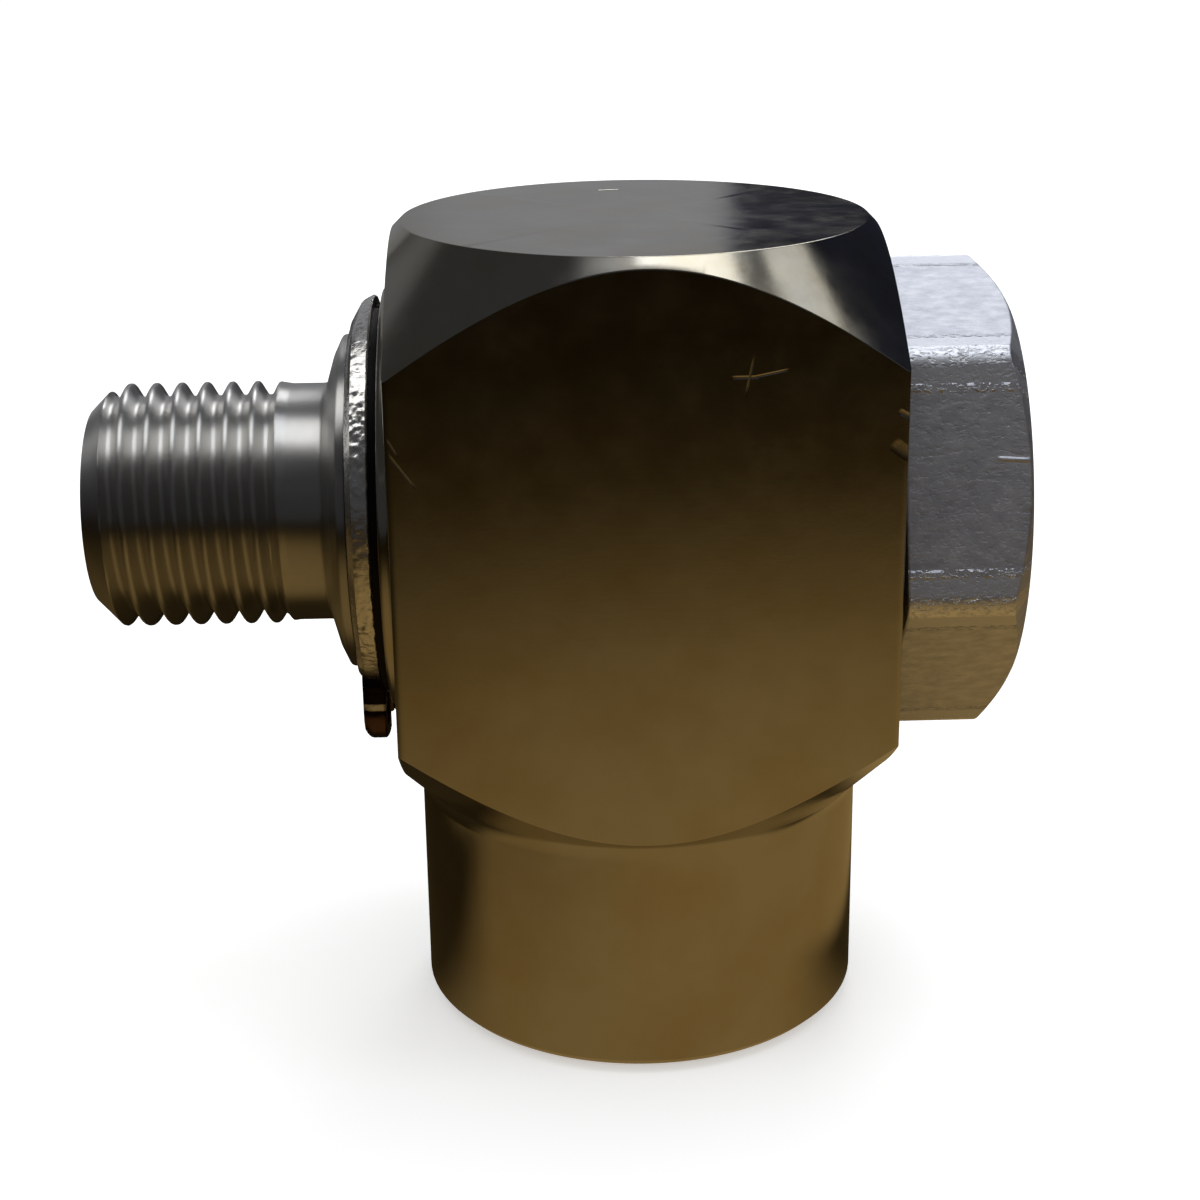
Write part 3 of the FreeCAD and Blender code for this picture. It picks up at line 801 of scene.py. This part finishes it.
def floor_and_world():
    """White floor that keeps the fitting's shadow, under a plain white sky."""
    floor = sheet("floor", [(x * FLOOR_REACH, y * FLOOR_REACH, FLOOR_LEVEL)
                            for x, y in ((-1, -1), (1, -1), (1, 1), (-1, 1))])
    material = bpy.data.materials.new("white_floor")
    material.use_nodes = True
    tree = material.node_tree
    shader = tree.nodes["Principled BSDF"]
    shader.inputs["Base Color"].default_value = linear("#F4F4F2")
    shader.inputs["Roughness"].default_value = 0.9
    shader.inputs["Specular IOR Level"].default_value = 0.0
    shader.inputs["Emission Color"].default_value = (1, 1, 1, 1)
    tree.links.new(seen_white(tree, 0.42).outputs[0], shader.inputs["Emission Strength"])
    floor.data.materials.append(material)
    world = bpy.data.worlds.new("sky")
    world.use_nodes = True
    bpy.context.scene.world = world
    tree = world.node_tree
    background = tree.nodes["Background"]
    background.inputs["Color"].default_value = (1, 1, 1, 1)
    level = node(tree, "ShaderNodeMath", {0: seen_white(tree, 1.0), 1: 0.7}, operation="MAXIMUM")
    tree.links.new(level.outputs[0], background.inputs["Strength"])


def for_mirrors_only(piece):
    """A studio card that only mirror reflections see, as black flags shape the light on metal."""
    piece.visible_camera = False
    piece.visible_diffuse = False
    piece.visible_shadow = False
    piece.visible_transmission = False


def facing(tree, direction, way, low, high, level):
    """Light level that rises smoothly to a value as a direction turns to face a way."""
    cosine = node(tree, "ShaderNodeVectorMath", {0: direction, 1: Vector(way).normalized()[:]},
                  operation="DOT_PRODUCT").outputs["Value"]
    return node(tree, "ShaderNodeMapRange", {0: cosine, 1: low, 2: high, 4: level},
                interpolation_type="SMOOTHSTEP")


def tent():
    """Dark room that the metal mirrors: nearly black in front and at the right, a grey wall behind.

    Its lights are placed by the direction from the stem's middle, and those behind by how far it goes
    sideways (x over y).
    """
    wall_left, panel_edge, wall_right, edge = -0.6, -0.065, 0.099, 0.012
    mesh = bpy.data.meshes.new("tent")
    work = bmesh.new()
    bmesh.ops.create_uvsphere(work, u_segments=48, v_segments=24, radius=TENT_R * MM)
    work.to_mesh(mesh)
    work.free()
    made = staged(bpy.data.objects.new("tent", mesh))
    made.location = (0, 0, STEM_AXIS_HEIGHT * MM)
    for_mirrors_only(made)
    material, tree, glow = glowing("dark_room")
    place = node(tree, "ShaderNodeTexCoord").outputs["Object"]
    direction = node(tree, "ShaderNodeVectorMath", {0: place}, operation="NORMALIZE")
    x, y, z = axes(tree, direction)
    behind = node(tree, "ShaderNodeMath", {0: y, 1: 0.05}, operation="MAXIMUM")
    sideways = node(tree, "ShaderNodeMath", {0: x, 1: behind}, operation="DIVIDE")
    back = node(tree, "ShaderNodeMapRange", {0: y, 1: 0.1, 2: 0.25})
    wall = node(tree, "ShaderNodeMath", {0: within(tree, sideways, wall_left, wall_right, edge), 1: back},
                operation="MULTIPLY")
    panel = node(tree, "ShaderNodeMapRange", {
        0: sideways, 1: panel_edge - 0.01, 2: panel_edge + 0.01, 3: 0.2, 4: 0.25})
    wall = node(tree, "ShaderNodeMath", {0: wall, 1: panel}, operation="MULTIPLY")
    leftward = node(tree, "ShaderNodeMapRange", {0: x, 1: -0.45, 2: -0.6, 4: 0.12})
    left = node(tree, "ShaderNodeMath", {0: within(tree, z, 0.05, 0.56, 0.1), 1: back}, operation="MULTIPLY")
    left = node(tree, "ShaderNodeMath", {0: left, 1: leftward}, operation="MULTIPLY")
    forward = node(tree, "ShaderNodeMapRange", {0: y, 1: -0.3, 2: -0.5, 4: 0.08})
    rail = node(tree, "ShaderNodeMath", {0: within(tree, z, 0.43, 0.45, 0.01), 1: forward},
                operation="MULTIPLY")
    level = 0.045
    for light in (facing(tree, direction, (0.3, -0.35, 0.89), 0.80, 0.97, 0.1),
                  facing(tree, direction, (0.1, -0.15, 0.98), 0.91, 1.0, 0.5), left, wall, rail):
        level = node(tree, "ShaderNodeMath", {0: light, 1: level}, operation="ADD")
    tree.links.new(level.outputs[0], glow.inputs["Strength"])
    beyond = node(tree, "ShaderNodeMath", {0: within(tree, sideways, wall_right, 9.0, edge), 1: back},
                  operation="MULTIPLY")
    varied(tree, glow, "Color", beyond, "#F4F7FF", "#9AA4CC")
    mesh.materials.append(material)


def table():
    """Brown table top round the foot, glowing: a painted pool of light near the fitting, dark far off, and a
    painted shadow under the stem.
    """
    lit_spot = (30, -20, 0)
    made = sheet("table_top", [(TENT_R * cos(a), TENT_R * sin(a), TABLE_LEVEL) for a in even_turn(64)])
    for_mirrors_only(made)
    material, tree, glow = glowing("brown_table")
    place = place_in_mm(tree)
    x, y = axes(tree, place)[:2]
    away = node(tree, "ShaderNodeVectorMath", {0: place, 1: lit_spot}, operation="DISTANCE").outputs["Value"]
    # Painted pool of light round a spot near the fitting.
    near = node(tree, "ShaderNodeMapRange", {0: away, 1: 20.0, 2: 115.0, 3: 1.0, 4: 0.11},
                interpolation_type="SMOOTHSTEP")
    far = node(tree, "ShaderNodeMapRange", {0: away, 1: 90.0, 2: 180.0, 3: 1.0, 4: 0.3},
               interpolation_type="SMOOTHSTEP")
    # Painted shadow of the stem and hexagon on the table.
    behind = node(tree, "ShaderNodeMapRange", {0: y, 1: -11.0, 2: 0.0, 4: 0.88},
                  interpolation_type="SMOOTHSTEP")
    shaded = node(tree, "ShaderNodeMath", {0: within(tree, x, -34, 17.5, 4), 1: behind}, operation="MULTIPLY")
    level = node(tree, "ShaderNodeMath", {0: 1.0, 1: shaded}, operation="SUBTRACT")
    for factor in (near, far):
        level = node(tree, "ShaderNodeMath", {0: level, 1: factor}, operation="MULTIPLY")
    tree.links.new(level.outputs[0], glow.inputs["Strength"])
    glow.inputs["Color"].default_value = (0.275, 0.18, 0.066, 1)
    made.data.materials.append(material)


def softbox(name, middle, size, level, colour, pieces=()):
    """Area lamp aimed at the fitting, which may light some pieces only; at level 1 it looks white."""
    away = Vector(middle).normalized()
    beside = Vector((1, 0, 0)) if abs(away.x) < 0.5 else Vector((0, -1, 0))
    over = away.cross(beside).normalized()
    lamp = bpy.data.lights.new(name, "AREA")
    lamp.shape = "RECTANGLE"
    lamp.size, lamp.size_y = size[0] * MM, size[1] * MM
    lamp.energy = level * pi * lamp.size * lamp.size_y
    lamp.color = linear(colour)[:3]
    made = bpy.data.objects.new(name, lamp)
    turn = Matrix((over.cross(away), over, away)).transposed().to_4x4()
    made.matrix_world = Matrix.Translation((Vector(middle) + Vector((0, 0, STEM_AXIS_HEIGHT))) * MM) @ turn
    bpy.context.scene.collection.objects.link(made)
    if pieces:
        made.light_linking.receiver_collection = bpy.data.collections.new(name)
        for piece in pieces:
            made.light_linking.receiver_collection.objects.link(piece)


def camera():
    """The photograph's place and lens, found by fitting the outlines."""
    yaw, pitch, roll = CAMERA_YAW, CAMERA_PITCH, CAMERA_ROLL
    ahead = Vector((sin(yaw) * cos(pitch), cos(yaw) * cos(pitch), -sin(pitch)))
    level = Vector((cos(yaw), -sin(yaw), 0))
    up = level.cross(ahead)
    right = level * cos(roll) + up * sin(roll)
    up = up * cos(roll) - level * sin(roll)
    lens = bpy.data.cameras.new("camera")
    lens.sensor_width = SENSOR_WIDTH
    lens.lens = SENSOR_WIDTH * FOCAL_LENGTH_PIXELS / PHOTO_PIXELS
    lens.clip_start = 0.005
    made = bpy.data.objects.new("camera", lens)
    turn = Matrix((right, up, -ahead)).transposed().to_4x4()
    made.matrix_world = Matrix.Translation(Vector(CAMERA_PLACE) * MM) @ turn
    bpy.context.scene.collection.objects.link(made)
    bpy.context.scene.camera = made


floor_and_world()
tent()
table()
softbox("overhead_softbox", (108, 10, 450), (216, 270), 1.9, "#EEF4FF")
softbox("right_softbox", (275, 60, 340), (140, 78), 1.05, "#F4F8FF")
softbox("back_lamp", (86, 344, 277), (150, 160), 4.3, "#F8FAFF")
softbox("stem_softbox", (-200, -20, 450), (390, 270), 1.45, "#FFFFFF", [stem, clip])
camera()
bpy.context.scene.view_settings.view_transform = "Standard"
